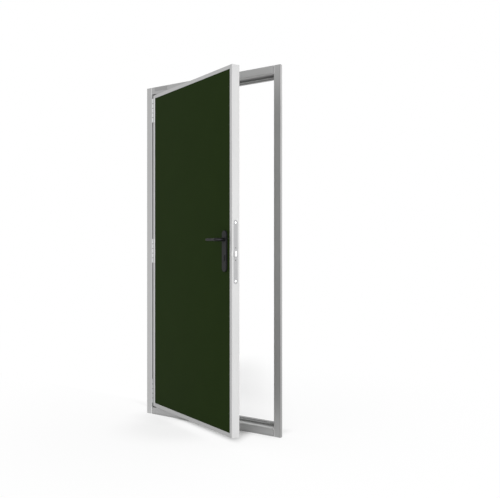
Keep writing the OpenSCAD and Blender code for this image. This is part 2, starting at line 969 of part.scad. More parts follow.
module cylinder_screw() {
  color("Gainsboro") in_leaf() forend_screw(key_screw_z, backset + 4, small_head_r);
}

// Plug with its keyway, from the outer end to the middle
module plug() {
  length = cyl_l / 2 - cam_gap / 2;
  difference() {
    along_y(-cyl_l / 2) cylinder(r = plug_r, h = length);
    translate([-1.2, -cyl_l / 2 - 1, -4.4]) cube([2.4, length - 3, 8.4]);
    translate([-2, -cyl_l / 2 - 1, -1.6]) cube([2, length - 3, 1.6]);
  }
}

module outer_plug() {
  color("Silver") in_leaf() at_key() translate([0, mid_v, 0]) plug();
}

module inner_plug() {
  color("Silver") in_leaf() at_key() translate([0, mid_v, 0]) mirror([0, 1, 0]) plug();
}

// Cam between the two plugs, its nose resting beside the body
module cam() {
  color("Gray")
    in_leaf()
      at_key()
        rotate([0, 30, 0]) {
          along_y(mid_v - cam_t / 2) cylinder(r = cyl_r, h = cam_t);
          translate([-4, mid_v - cam_t / 2, -cam_r + 1]) cube([8, cam_t, cam_r - 1]);
        }
}

hinge_jamb();
lock_jamb();
head();
sill();
jamb_gaskets();
head_gasket();
sill_gasket();
corner_screws();
strike_plate();
strike_screws();
jamb_backings();
bottom_frame_flap();
middle_frame_flap();
top_frame_flap();
bottom_pin();
middle_pin();
top_pin();
frame_flap_screws();
hinge_stile();
lock_stile();
top_rail();
bottom_rail();
outer_skin();
panel_core();
inner_skin();
corner_cleats();
stile_backings();
bottom_leaf_flap();
middle_leaf_flap();
top_leaf_flap();
leaf_flap_screws();
forend();
forend_lugs();
forend_screws();
lock_case();
lock_cover();
cylinder_body();
cylinder_screw();
outer_backplate();
inner_backplate();
plate_bolts();
outer_lever();
inner_lever();
spindle();
follower();
latch_bolt();
outer_plug();
cam();
inner_plug();
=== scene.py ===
"""Exterior door in its frame: finishes, a trim plate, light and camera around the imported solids."""

import json
import math

import bpy
import numpy as np
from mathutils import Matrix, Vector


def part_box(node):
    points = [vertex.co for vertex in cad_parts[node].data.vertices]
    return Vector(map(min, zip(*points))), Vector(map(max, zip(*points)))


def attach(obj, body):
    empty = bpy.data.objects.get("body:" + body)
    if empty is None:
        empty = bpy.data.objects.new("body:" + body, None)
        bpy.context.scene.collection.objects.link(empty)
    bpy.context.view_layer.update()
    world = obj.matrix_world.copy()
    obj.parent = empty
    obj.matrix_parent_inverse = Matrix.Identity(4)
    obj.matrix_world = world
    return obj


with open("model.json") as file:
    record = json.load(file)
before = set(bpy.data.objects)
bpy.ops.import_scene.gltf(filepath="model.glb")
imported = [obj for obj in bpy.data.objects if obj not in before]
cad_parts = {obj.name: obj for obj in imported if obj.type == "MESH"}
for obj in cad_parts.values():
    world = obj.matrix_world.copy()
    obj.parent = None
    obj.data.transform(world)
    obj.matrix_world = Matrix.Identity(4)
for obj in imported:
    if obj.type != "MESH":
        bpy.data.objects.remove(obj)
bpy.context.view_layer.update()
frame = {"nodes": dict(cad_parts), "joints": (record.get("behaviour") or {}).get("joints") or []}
nodes = frame["nodes"]

# Sizes read from the solids, in metres
JAMB_LOW, JAMB_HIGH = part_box("lock_jamb")
HALF_W, FRAME_H = JAMB_HIGH[0], JAMB_HIGH[2]
FRONT_Y = JAMB_LOW[1]
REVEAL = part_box("head")[1][0]
HEAD_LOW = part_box("head")[0][2]
SILL_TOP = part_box("sill")[1][2]
FACE_W = HALF_W - REVEAL
HEAD_EDGE = FRAME_H - FACE_W
HINGE_HEIGHTS = ("bottom", "middle", "top")
HINGE_PINS = [height + "_pin" for height in HINGE_HEIGHTS]
HINGE_MIDDLES = [sum(corner[2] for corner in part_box(pin)) / 2 for pin in HINGE_PINS]
SWING = next(joint for joint in frame["joints"] if joint["name"] == "leaf_swing")
AXIS = SWING["pos_m"]
OPEN = math.radians(-SWING["range_deg"][0])

# Sizes of the leaf, measured on it: its width, and its outer hinge-side corner from the hinge axis
LEAF_W = 0.912
CORNER_ALONG = 0.00475
CORNER_INTO = 0.0012
LEAF_CORNER = (
    AXIS[0] + CORNER_ALONG * math.cos(OPEN) + CORNER_INTO * math.sin(OPEN),
    AXIS[1] - CORNER_ALONG * math.sin(OPEN) + CORNER_INTO * math.cos(OPEN),
    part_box("bottom_rail")[0][2],
)
KNUCKLE_L = 0.030
KNUCKLE_STEPS = (-1.5, -0.5, 0.5, 1.5)
KNUCKLE_JOINTS = [middle + step * KNUCKLE_L for middle in HINGE_MIDDLES for step in KNUCKLE_STEPS]

WHITE = (1.0, 1.0, 1.0, 1.0)


def linear(r, g, b):
    """Screen colour from 0 to 255 turned into the linear colour a shader takes."""
    screen = np.array([r, g, b], float) / 255.0
    low, high = screen / 12.92, ((screen + 0.055) / 1.055) ** 2.4
    return tuple(float(x) for x in np.where(screen <= 0.04045, low, high)) + (1.0,)


def grey(level):
    """Linear colour of a neutral grey, from its screen level."""
    return linear(level, level, level)


def times(colour, factor):
    """A linear colour made lighter or darker by one factor."""
    return tuple(min(1.0, c * factor) for c in colour[:3]) + (1.0,)


class Shade:
    """A number on a surface. Arithmetic with it adds Math nodes to its finish."""

    def __init__(self, finish, socket):
        self.finish = finish
        self.socket = socket

    def _math(self, operation, first, second):
        return self.finish.node("ShaderNodeMath", {"operation": operation}, {0: first, 1: second})

    def __add__(self, other):
        return self._math("ADD", self, other)

    def __radd__(self, other):
        return self._math("ADD", other, self)

    def __sub__(self, other):
        return self._math("SUBTRACT", self, other)

    def __rsub__(self, other):
        return self._math("SUBTRACT", other, self)

    def __mul__(self, other):
        return self._math("MULTIPLY", self, other)

    def __rmul__(self, other):
        return self._math("MULTIPLY", other, self)

    def __abs__(self):
        return self._math("ABSOLUTE", self, 0.0)

    def most(self, other):
        return self._math("MAXIMUM", self, other)

    def least(self, other):
        return self._math("MINIMUM", self, other)


class Finish:
    """The nodes of one material, or of the surround."""

    def __init__(self, owner):
        self.owner = owner
        owner.use_nodes = True
        self.tree = owner.node_tree
        self.tree.nodes.clear()
        self.known_places = {}

    def node(self, kind, settings=None, sockets=None, output=None):
        """Adds a node: its settings, then a value or a link for each socket.

        Gives the named output, or else the first one."""
        made = self.tree.nodes.new(kind)
        for key, value in (settings or {}).items():
            setattr(made, key, value)
        for key, value in (sockets or {}).items():
            self.fill(made, key, value)
        outs = [out for out in made.outputs if out.enabled and output in (None, out.name)]
        return Shade(self, outs[0]) if outs else None

    def fill(self, made, key, value):
        """Links a shade to a node's socket, or sets a plain value on it."""
        found = made.inputs[key] if isinstance(key, int) else next(
            socket for socket in made.inputs if socket.name == key and socket.enabled)
        if isinstance(value, Shade):
            self.tree.links.new(value.socket, found)
        else:
            found.default_value = value

    def outs(self, shade, names):
        """Several outputs of the node that a shade comes from."""
        return [Shade(self, shade.socket.node.outputs[name]) for name in names]

    def place(self, origin=(0.0, 0.0, 0.0), turn=0.0):
        """Object coordinates measured from an origin and turned about Z."""
        here = self.node("ShaderNodeTexCoord", output="Object")
        c, s = math.cos(turn), math.sin(turn)
        shift = (-(c * origin[0] - s * origin[1]), -(s * origin[0] + c * origin[1]), -origin[2])
        return self.node("ShaderNodeMapping", sockets={
            "Vector": here, "Rotation": (0.0, 0.0, turn), "Location": shift})

    def axes(self, vector):
        """The three numbers of a vector."""
        return self.outs(self.node("ShaderNodeSeparateXYZ", sockets={"Vector": vector}), "XYZ")

    def length(self, vector):
        """How long a vector is."""
        return self.node("ShaderNodeVectorMath", {"operation": "LENGTH"}, {0: vector}, output="Value")

    def stretched(self, vector, scale):
        """A vector multiplied axis by axis."""
        return self.node("ShaderNodeVectorMath", {"operation": "MULTIPLY"}, {0: vector, 1: scale})

    def noise(self, vector, scale, detail=2.0, rough=0.5):
        """Soft random number from 0 to 1 over a vector."""
        return self.node("ShaderNodeTexNoise", {"noise_dimensions": "3D"}, {
            "Vector": vector, "Scale": scale, "Detail": detail, "Roughness": rough}, output="Fac")

    def cells(self, vector, scale, output):
        """Cell pattern over a vector: the distance to a cell's seed, or a colour for each cell."""
        return self.node("ShaderNodeTexVoronoi", {"feature": "F1"}, {
            "Vector": vector, "Scale": scale}, output=output)

    def between(self, value, low, high, start=0.0, end=1.0):
        """Smooth step of a number from start at low to end at high, whichever of the two is larger."""
        return self.node("ShaderNodeMapRange", {"interpolation_type": "SMOOTHSTEP"}, {
            "Value": value, "From Min": low, "From Max": high, "To Min": start, "To Max": end})

    def mix(self, factor, first, second):
        """Colour between two colours."""
        return self.node("ShaderNodeMix", {"data_type": "RGBA"}, {
            "Factor": factor, "A": first, "B": second}, output="Result")

    def where(self, name):
        """One of the PLACES on this finish, made once."""
        if name not in self.known_places:
            self.known_places[name] = PLACES[name](self)
        return self.known_places[name]

    def within(self, steps):
        """Soft mask from 0 to 1: the product of steps, each a place, its start and where it is whole."""
        mask = None
        for name, start, whole in steps:
            step = self.between(self.where(name), start, whole)
            mask = step if mask is None else mask * step
        return mask

    def shaded(self, marks):
        """Product of the marks' shades, each held within its own steps, and 1 away from them all."""
        level = None
        for shade, steps in marks:
            here = 1.0 + self.within(steps) * (shade - 1.0)
            level = here if level is None else level * here
        return level

    def marked(self, colour, marks):
        """A colour with its marks multiplied in."""
        if not marks:
            return colour
        return self.node("ShaderNodeVectorMath", {"operation": "SCALE"}, {
            0: colour, "Scale": self.shaded(marks)})

    def bump(self, height, strength, distance):
        """Surface normal tilted by a height."""
        return self.node("ShaderNodeBump", sockets={
            "Height": height, "Strength": strength, "Distance": distance})

    def surface(self, **sockets):
        """The surface shader, with its sockets' names written with underscores, joined to the output."""
        shader = self.node("ShaderNodeBsdfPrincipled", sockets={
            key.replace("_", " "): value for key, value in sockets.items()})
        self.node("ShaderNodeOutputMaterial", sockets={"Surface": shader})
        return self.owner

    def seen(self):
        """1 for what the eye, a reflection or glass shows, and 0 for light that falls on things."""
        eye, glossy, through = self.outs(self.node("ShaderNodeLightPath"), (
            "Is Camera Ray", "Is Glossy Ray", "Is Transmission Ray"))
        return eye.most(glossy).most(through)


def nearest(value, places):
    """Distance of a number from the nearest of some places."""
    gap = abs(value - places[0])
    for place in places[1:]:
        gap = gap.least(abs(value - place))
    return gap


# Places on the door and its floor, in metres, that bound the marks of each finish.
# across, deep and high run right, inwards and up from the frame's foot.
# along and into run along the open leaf and behind its outer face.
HALL_LEAN = 0.5
HALL_SLANT = (0.812, 0.584)
CORNER_SLANT = 0.6
POOL_MIDDLE = (-0.14, -0.20, 0.0)
PLACES = {
    "across": lambda f: f.axes(f.place())[0],
    "deep": lambda f: f.axes(f.place())[1],
    "high": lambda f: f.axes(f.place())[2],
    "along": lambda f: f.axes(f.place(LEAF_CORNER, OPEN))[0],
    "into": lambda f: f.axes(f.place(LEAF_CORNER, OPEN))[1],
    "from_middle": lambda f: abs(f.where("across")),
    "from_mid_height": lambda f: abs(f.where("high") - FRAME_H / 2),
    "from_seam": lambda f: abs(f.where("from_middle") - REVEAL),
    "from_hinge": lambda f: nearest(f.where("high"), HINGE_MIDDLES),
    "from_knuckle": lambda f: nearest(f.where("high"), KNUCKLE_JOINTS),
    "from_door": lambda f: f.length(f.place()),
    "from_pool": lambda f: f.length(f.place(POOL_MIDDLE)),
    "past_corner": lambda f: f.where("along") + f.where("into") * CORNER_SLANT,
    "behind_left": lambda f: f.where("across") + f.where("deep") * HALL_LEAN,
    "behind_right": lambda f: f.where("across") * HALL_SLANT[0] + f.where("deep") * HALL_SLANT[1],
}


# Finishes

# Lit and shaded copies of one aluminium, not the plate: each tone is painted lighter or darker to the
# light on that bar.
ALUMINIUM = grey(192)
LOCK_ALUMINIUM = grey(188)
HEAD_ALUMINIUM = grey(181)
PLATE_ALUMINIUM = grey(166)
LEAF_BORDER = grey(190)
HINGE_BORDER = grey(199)
TOP_BORDER = grey(187)
BOTTOM_BORDER = grey(179)
FRAME_ROUGH = 0.66
LEAF_ROUGH = 0.60
BAR_METAL = 0.88
PANEL_GLOSS = 0.02
RUBBER_GLOSS = 0.3
FOAM_ROUGH = 0.85
STREAK_FINE = 1400.0
STREAK_SLOW = 6.0
HAIR_FINE = 2600.0
HAIR_SLOW = 30.0


def drawn_bar(name, tone, along, rough, marks=()):
    """Satin extruded bar: faint streaks along its length, a slow cloud and fine specks, under its marks
    of painted light and shade.

    along is the way the bar runs: 'x', 'z' or 'leaf'."""
    f = Finish(bpy.data.materials.new(name))
    here = f.place(LEAF_CORNER, OPEN) if along == "leaf" else f.place()
    if along == "z":
        scale = (STREAK_FINE, STREAK_FINE, STREAK_SLOW)
    else:
        scale = (STREAK_SLOW, STREAK_FINE, STREAK_FINE)
    streak = f.noise(f.stretched(here, scale), scale=1.0, detail=3.0, rough=0.6)
    cloud = f.noise(here, scale=7.0)
    speck = f.noise(here, scale=900.0)
    light = streak * 0.55 + cloud * 0.3 + speck * 0.15
    colour = f.mix(f.between(light, 0.3, 0.7), times(tone, 0.965), times(tone, 1.03))
    roughness = rough - 0.05 + streak * 0.07 + cloud * 0.05
    normal = f.bump(streak * 0.7 + speck * 0.3, strength=0.05, distance=0.0004)
    return f.surface(
        Base_Color=f.marked(colour, marks), Metallic=BAR_METAL, Roughness=roughness, Normal=normal)


def painted_panel(name, tone):
    """Matt powder paint: fine orange-peel dimples, slight cloudiness in the colour."""
    f = Finish(bpy.data.materials.new(name))
    here = f.place()
    peel = f.noise(here, scale=420.0, rough=0.55)
    grit = f.noise(here, scale=2100.0, detail=1.0)
    cloud = f.noise(here, scale=5.0, detail=3.0, rough=0.55)
    colour = f.mix(f.between(cloud * 0.6 + peel * 0.4, 0.25, 0.75), times(tone, 0.95), times(tone, 1.06))
    roughness = 0.5 + peel * 0.12 + grit * 0.05
    normal = f.bump(peel * 0.8 + grit * 0.2, strength=0.12, distance=0.0005)
    return f.surface(
        Base_Color=colour, Roughness=roughness, Normal=normal, Specular_IOR_Level=PANEL_GLOSS)


def brushed_steel(name, tone, rough, turn=0.0, metal=1.0, marks=()):
    """Brushed steel: upright hair lines and a soft cloud of handling, under its marks."""
    f = Finish(bpy.data.materials.new(name))
    here = f.place(LEAF_CORNER, turn)
    drawn = f.stretched(here, (HAIR_FINE, HAIR_FINE, HAIR_SLOW))
    hair = f.noise(drawn, scale=1.0, detail=4.0, rough=0.65)
    cloud = f.noise(here, scale=45.0, detail=3.0, rough=0.6)
    colour = f.mix(f.between(hair * 0.6 + cloud * 0.4, 0.3, 0.7), times(tone, 0.93), times(tone, 1.05))
    roughness = rough - 0.06 + hair * 0.08 + cloud * 0.06
    normal = f.bump(hair, strength=0.06, distance=0.0003)
    return f.surface(
        Base_Color=f.marked(colour, marks), Metallic=metal, Roughness=roughness, Normal=normal)


def zinc_steel(name, tone, rough, marks=()):
    """Plated steel: small crystalline patches and a slow cloud, under its marks."""
    f = Finish(bpy.data.materials.new(name))
    here = f.place()
    grain = f.axes(f.cells(here, 420.0, "Color"))[0]
    cloud = f.noise(here, scale=60.0, detail=3.0, rough=0.55)
    colour = f.mix(grain * 0.35 + cloud * 0.65, times(tone, 0.94), times(tone, 1.05))
    roughness = rough - 0.05 + cloud * 0.08 + grain * 0.03
    normal = f.bump(cloud, strength=0.05, distance=0.0004)
    return f.surface(
        Base_Color=f.marked(colour, marks), Metallic=1.0, Roughness=roughness, Normal=normal)


def coated_handle(name, tone, rough, gloss, marks=()):
    """Satin dark coating: fine even grain with a faint rub where hands touch it, under its marks."""
    f = Finish(bpy.data.materials.new(name))
    here = f.place()
    grain = f.noise(here, scale=1700.0)
    rub = f.noise(here, scale=34.0, detail=3.0, rough=0.6)
    colour = f.mix(f.between(rub * 0.7 + grain * 0.3, 0.3, 0.7), times(tone, 0.92), times(tone, 1.10))
    roughness = rough + grain * 0.10 - rub * 0.06
    normal = f.bump(grain, strength=0.10, distance=0.0003)
    return f.surface(
        Base_Color=f.marked(colour, marks), Roughness=roughness, Normal=normal, Specular_IOR_Level=gloss)


def soft_rubber(name):
    """Grey seal rubber: matt, dusty in patches."""
    f = Finish(bpy.data.materials.new(name))
    here = f.place()
    dust = f.noise(here, scale=30.0, detail=4.0, rough=0.6)
    skin = f.noise(here, scale=1500.0)
    colour = f.mix(f.between(dust, 0.35, 0.75), grey(190), grey(206))
    roughness = 0.62 + dust * 0.2
    normal = f.bump(skin, strength=0.12, distance=0.0003)
    return f.surface(
        Base_Color=colour, Roughness=roughness, Normal=normal, Specular_IOR_Level=RUBBER_GLOSS)


def rigid_foam(name):
    """Cut rigid foam: closed cells on a straw colour."""
    f = Finish(bpy.data.materials.new(name))
    cell = f.cells(f.place(), 900.0, "Distance")
    colour = f.mix(f.between(cell, 0.1, 0.7), linear(214, 198, 150), linear(186, 168, 118))
    normal = f.bump(cell, strength=0.4, distance=0.0008)
    return f.surface(Base_Color=colour, Roughness=FOAM_ROUGH, Normal=normal)


# Steps that several marks share
STOP = (("deep", 0.040, 0.043), ("deep", 0.050, 0.047))
REBATE = ("deep", 0.044, 0.040)
FRONT_EDGE = ("deep", -0.003, -0.0075)
FRONT_FLAT = ("deep", -0.0075, -0.0085)
OUT_OF_REVEAL = ("from_middle", REVEAL + 0.0035, REVEAL + 0.005)
LOCK_SIDE = ("across", HALF_W - 0.003, HALF_W - 0.001)
HINGE_CORNER = (("across", -0.418, -0.446), ("deep", 0.030, 0.020))
FREE_EDGE = ("along", LEAF_W - 0.0035, LEAF_W - 0.0025)
LEAF_FRONT = ("into", 0.004, 0.002)
BESIDE_BOLT = (("high", 1.0205, 1.0235), ("high", 1.0545, 1.0515))
JAMB_AT_BUTT = (
    ("from_mid_height", FRAME_H / 2 - FACE_W, FRAME_H / 2 - FACE_W + 0.001),
    ("from_middle", REVEAL + 0.008, REVEAL + 0.007),
)

# Marks of the finishes, most of them painted light and shade: each is a shade, then the steps that bound
# it
# Painted light along the seams where the bars butt, offsetting the shade in the joints
PAINTED_SEAM_LIGHT = 1.36
# Painted shade on the stop's front, back in the rebate
STOP_PAINTED_SHADE = (0.95, STOP)
PAINTED_SEAM_ENDS = (PAINTED_SEAM_LIGHT, (("from_seam", 0.0008, 0.0003),))
HINGE_JAMB_MARKS = (
    STOP_PAINTED_SHADE,
    (PAINTED_SEAM_LIGHT, JAMB_AT_BUTT + (OUT_OF_REVEAL,)),
    # Painted highlight on the round inner edge, then painted shade in the reveal behind it
    (1.15, (("from_middle", REVEAL + 0.0115, REVEAL + 0.0095), OUT_OF_REVEAL, FRONT_EDGE)),
    (0.69, (("from_middle", REVEAL + 0.005, REVEAL + 0.0035), REBATE)),
    # Painted light at the foot, painted shade at the top
    (1.035, (("high", 1.2, 0.3),)),
    (0.955, (("high", 0.9, 1.8),)),
)
LOCK_JAMB_MARKS = (
    STOP_PAINTED_SHADE,
    (PAINTED_SEAM_LIGHT, JAMB_AT_BUTT),
    # Painted shade towards the foot, then on the front face painted shade at the top and painted light at
    # the foot
    (0.83, (("high", 1.05, 0.05),)),
    (0.91, (FRONT_FLAT, ("high", 1.60, 1.85))),
    (1.07, (FRONT_FLAT, ("high", 0.25, 0.10))),
    # Painted highlight on the round inner edge, then a painted shade line along the outer edge
    (1.9, (("from_middle", REVEAL + 0.005, REVEAL + 0.002), FRONT_EDGE)),
    (0.88, (
        ("across", HALF_W - 0.0085, HALF_W - 0.0065),
        ("across", HALF_W - 0.001, HALF_W - 0.002),
        FRONT_EDGE,
    )),
    # Outer side: painted shade on its lower part, a painted highlight on its back edge, painted light at
    # its top
    (0.91, (LOCK_SIDE, ("high", 1.5, 0.8))),
    (1.5, (LOCK_SIDE, ("deep", 0.0065, 0.0085))),
    (1.11, (LOCK_SIDE, ("high", 1.75, 2.05))),
)
HEAD_MARKS = (
    PAINTED_SEAM_ENDS,
    STOP_PAINTED_SHADE,
    # Painted shade on the underside in front of the stop, then painted light on the back edge of the
    # stop's underside
    (0.64, (
        ("deep", -0.006, 0.022),
        ("high", HEAD_EDGE + 0.0015, HEAD_EDGE + 0.0005),
        ("deep", 0.046, 0.030),
    )),
    (2.0, (("deep", 0.058, 0.062), ("high", HEAD_LOW + 0.0025, HEAD_LOW + 0.001))),
    # Painted highlight on the round lower edge, then painted shade in the hinge corner
    (1.35, (("high", HEAD_EDGE + 0.007, HEAD_EDGE + 0.003), FRONT_EDGE)),
    (0.40, (("high", HEAD_EDGE + 0.0055, HEAD_EDGE + 0.0035),) + HINGE_CORNER),
)
SILL_MARKS = (
    PAINTED_SEAM_ENDS,
    # Painted light on the stop's front, painted shade on its top and at the foot
    (1.20, STOP),
    (0.82, (("deep", 0.049, 0.052), ("high", SILL_TOP - 0.004, SILL_TOP - 0.002))),
    (0.86, (("high", 0.016, 0.004),)),
    # Painted highlight on the round top edge, then painted shade in the hinge corner
    (1.45, (("high", FACE_W - 0.007, FACE_W - 0.003), ("deep", 0.018, 0.004))),
    (0.35, (("high", FACE_W - 0.0055, FACE_W - 0.0035),) + HINGE_CORNER),
)
HINGE_STILE_MARKS = (
    # Painted light on the face beside the middle and the top hinge
    (1.22, (("from_hinge", 0.079, 0.075), LEAF_FRONT, ("along", 0.006, 0.011), ("high", 0.5, 0.7))),
)
LOCK_STILE_MARKS = (
    # Free edge: painted light at its foot and its top, and a painted reflection of the bolt on the strip
    # beside it
    (1.11, (FREE_EDGE, ("high", 0.75, 0.10))),
    (1.05, (FREE_EDGE, ("high", 1.60, 2.00))),
    (1.14, (FREE_EDGE, ("into", 0.013, 0.011)) + BESIDE_BOLT),
    # Painted shade on the face below the top
    (0.95, (LEAF_FRONT, ("high", 1.75, 1.45))),
)
FOREND_MARKS = (
    # Painted reflection of the bolt on the forend beside it
    (1.45, (("into", 0.012, 0.015), ("into", 0.026, 0.023)) + BESIDE_BOLT),
)
HINGE_MARKS = (
    # Painted shade on the bottom hinge, then painted light on the top one
    (0.74, (("high", 0.401, 0.400),)),
    (1.08, (("high", 1.85, 1.86),)),
    # Dark lines between the knuckles, then painted shade on the flaps in the gap
    (0.42, (("from_knuckle", 0.0030, 0.0012),)),
    (0.45, (("deep", -0.007, -0.005),)),
)
LEVER_MARKS = (
    # Painted highlight along the outer lever's neck
    (3.2, (
        ("along", 0.835, 0.850),
        ("into", -0.010, -0.045),
        ("high", 1.1085, 1.1112),
        ("high", 1.1166, 1.1139),
    )),
)
EDGE_SCREW_MARKS = (
    # Dull pair near the bolt
    (0.13, (("high", 0.949, 0.950), ("high", 1.121, 1.120))),
)

FINISHES = (
    (drawn_bar("frame_bar_upright", ALUMINIUM, "z", FRAME_ROUGH, HINGE_JAMB_MARKS), ["hinge_jamb"]),
    (drawn_bar("frame_bar_lock_side", LOCK_ALUMINIUM, "z", FRAME_ROUGH, LOCK_JAMB_MARKS), ["lock_jamb"]),
    (drawn_bar("frame_bar_head", HEAD_ALUMINIUM, "x", FRAME_ROUGH, HEAD_MARKS), ["head"]),
    (drawn_bar("frame_bar_sill", HEAD_ALUMINIUM, "x", FRAME_ROUGH, SILL_MARKS), ["sill"]),
    (drawn_bar("leaf_bar_hinge_side", HINGE_BORDER, "z", LEAF_ROUGH, HINGE_STILE_MARKS),
     ["hinge_stile"]),
    (drawn_bar("leaf_bar_lock_side", LEAF_BORDER, "z", LEAF_ROUGH, LOCK_STILE_MARKS), ["lock_stile"]),
    (drawn_bar("leaf_bar_top", TOP_BORDER, "leaf", LEAF_ROUGH), ["top_rail"]),
    (drawn_bar("leaf_bar_bottom", BOTTOM_BORDER, "leaf", LEAF_ROUGH), ["bottom_rail"]),
    (painted_panel("green_panel_paint", linear(30, 44, 14)), ["outer_skin", "inner_skin"]),
    (zinc_steel("hinge_plating", linear(212, 213, 214), rough=0.46, marks=HINGE_MARKS),
     [height + half for height in HINGE_HEIGHTS for half in ("_frame_flap", "_leaf_flap")]),
    (brushed_steel("hinge_pin_steel", linear(200, 200, 201), rough=0.34), HINGE_PINS + ["spindle"]),
    (brushed_steel("forend_steel", linear(162, 162, 163), rough=0.60, turn=OPEN, marks=FOREND_MARKS),
     ["forend"]),
    (brushed_steel("strike_steel", linear(186, 187, 188), rough=0.38), ["strike_plate"]),
    (brushed_steel("bright_bolt_steel", grey(240), rough=0.40, turn=OPEN, metal=0.3), ["latch_bolt"]),
    (brushed_steel("follower_brass", linear(206, 172, 96), rough=0.36, turn=OPEN), ["follower"]),
    (zinc_steel("edge_screw_plating", grey(244), rough=0.26, marks=EDGE_SCREW_MARKS),
     ["forend_screws", "cylinder_screw"]),
    (zinc_steel("screw_plating", grey(238), rough=0.26),
     ["strike_screws", "frame_flap_screws", "leaf_flap_screws", "corner_screws"]),
    (zinc_steel("backing_plating", linear(150, 151, 152), rough=0.50),
     ["jamb_backings", "stile_backings", "forend_lugs", "corner_cleats",
      "lock_case", "lock_cover", "cam"]),
    (coated_handle("handle_coating", linear(36, 36, 37), rough=0.44, gloss=0.10),
     ["outer_backplate", "inner_backplate", "plate_bolts"]),
    (coated_handle("lever_coating", linear(23, 23, 24), rough=0.30, gloss=0.13, marks=LEVER_MARKS),
     ["outer_lever", "inner_lever"]),
    (coated_handle("cylinder_coating", linear(43, 43, 44), rough=0.44, gloss=0.10),
     ["cylinder_body", "outer_plug", "inner_plug"]),
    (soft_rubber("seal_rubber"), ["jamb_gaskets", "head_gasket", "sill_gasket"]),
    (rigid_foam("core_foam_cells"), ["panel_core"]),
)
for finish, names in FINISHES:
    for name in names:
        nodes[name].data.materials.clear()
        nodes[name].data.materials.append(finish)


# Trim plate on the head

PLATE_W = 0.103
PLATE_H = 0.025
PLATE_T = 0.0012
PLATE_CORNER_R = 0.0015
PLATE_EASE = 0.0005
PLATE_FROM_SEAM = 0.0225
PLATE_BELOW_TOP = 0.0005
WELD_GAP = 0.00001


def grid_mesh(name, points, closed_v=False):
    """Mesh of a grid of points: a quad for each cell, closed along its second direction where asked."""
    rows, cols = points.shape[:2]
    u = np.arange(rows - 1)
    v = np.arange(cols if closed_v else cols - 1)
    uu, vv = np.meshgrid(u, v, indexing="ij")
    after = (vv + 1) % cols
    near, far = uu * cols, (uu + 1) * cols
    faces = np.stack([near + vv, far + vv, far + after, near + after], -1)
    mesh = bpy.data.meshes.new(name)
    mesh.from_pydata(points.reshape(-1, 3).tolist(), [], faces.reshape(-1, 4).tolist())
    mesh.update()
    return mesh


def placed(name, mesh):
    """Object of a mesh, at the origin."""
    piece = bpy.data.objects.new(name, mesh)
    bpy.context.scene.collection.objects.link(piece)
    return piece


def rounded_outline(width, height, radius, steps=6):
    """Rectangle with round corners, walked anticlockwise: quarter circles joined by straight runs."""
    turn = np.linspace(0.0, math.pi / 2, steps)
    angle = turn[None, :] + np.arange(4)[:, None] * math.pi / 2
    middle_x = np.array([1, -1, -1, 1])[:, None] * (width / 2 - radius)
    middle_y = np.array([1, 1, -1, -1])[:, None] * (height / 2 - radius)
    points = np.stack([middle_x + radius * np.cos(angle), middle_y + radius * np.sin(angle)], -1)
    return points.reshape(-1, 2)


def head_cover_plate(ease_steps=5):
    """Thin plate on the head's front face: a round-cornered outline carried from its foot to its front.

    Each ring of the grid is the outline at one depth: the back's centre, the foot on the face, a
    quarter circle for the eased edge, half the outline on the flat front, and the front's centre."""
    outline = rounded_outline(PLATE_W, PLATE_H, PLATE_CORNER_R)
    ease = np.linspace(0.0, math.pi / 2, ease_steps)
    inset = np.concatenate([[0.0], PLATE_EASE * (1 - np.cos(ease))])
    rise = np.concatenate([[0.0], PLATE_T - PLATE_EASE + PLATE_EASE * np.sin(ease)])
    size = np.array([PLATE_W, PLATE_H])
    rings = outline[None, :, :] * (size - 2 * inset[:, None, None]) / size
    centre = np.zeros_like(rings[:1])
    rings = np.concatenate([centre, rings, rings[-1:] / 2, centre])
    rise = np.concatenate([[0.0], rise, [PLATE_T, PLATE_T]])
    points = np.stack([
        -REVEAL + PLATE_FROM_SEAM + PLATE_W / 2 + rings[:, :, 0],
        np.broadcast_to(FRONT_Y - rise[:, None], rings.shape[:2]),
        FRAME_H - PLATE_BELOW_TOP - PLATE_H / 2 + rings[:, :, 1],
    ], -1)
    mesh = grid_mesh("head_plate", points, closed_v=True)
    mesh.materials.append(drawn_bar("head_plate_aluminium", PLATE_ALUMINIUM, "x", FRAME_ROUGH))
    piece = placed("head_plate", mesh)
    weld = piece.modifiers.new("closed_centre", "WELD")
    weld.merge_threshold = WELD_GAP
    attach(piece, "frame")


head_cover_plate()


# Floor, light and camera

FLOOR_HALF = 30.0
FLOOR_Z = -0.0005
FLOOR_PALE = (0.93, 0.93, 0.93, 1.0)
FLOOR_DIM = (0.79, 0.79, 0.79, 1.0)
WHITE_NEAR = 0.88
NEAR_DOOR, FAR_FROM_DOOR = 0.5, 2.4
# Pools of shade on the floor: the white glow is thinned so the real shadow shows, and under the leaf and
# at the sill the colour is painted darker too
UNDER_LEAF = (("into", 0.045, 0.11), ("into", 0.45, 0.30), ("past_corner", 0.935, 0.805))
AT_SILL = (
    ("deep", -0.045, -0.010),
    ("deep", 0.05, 0.03),
    ("across", -0.30, -0.20),
    ("across", 0.33, 0.24),
)
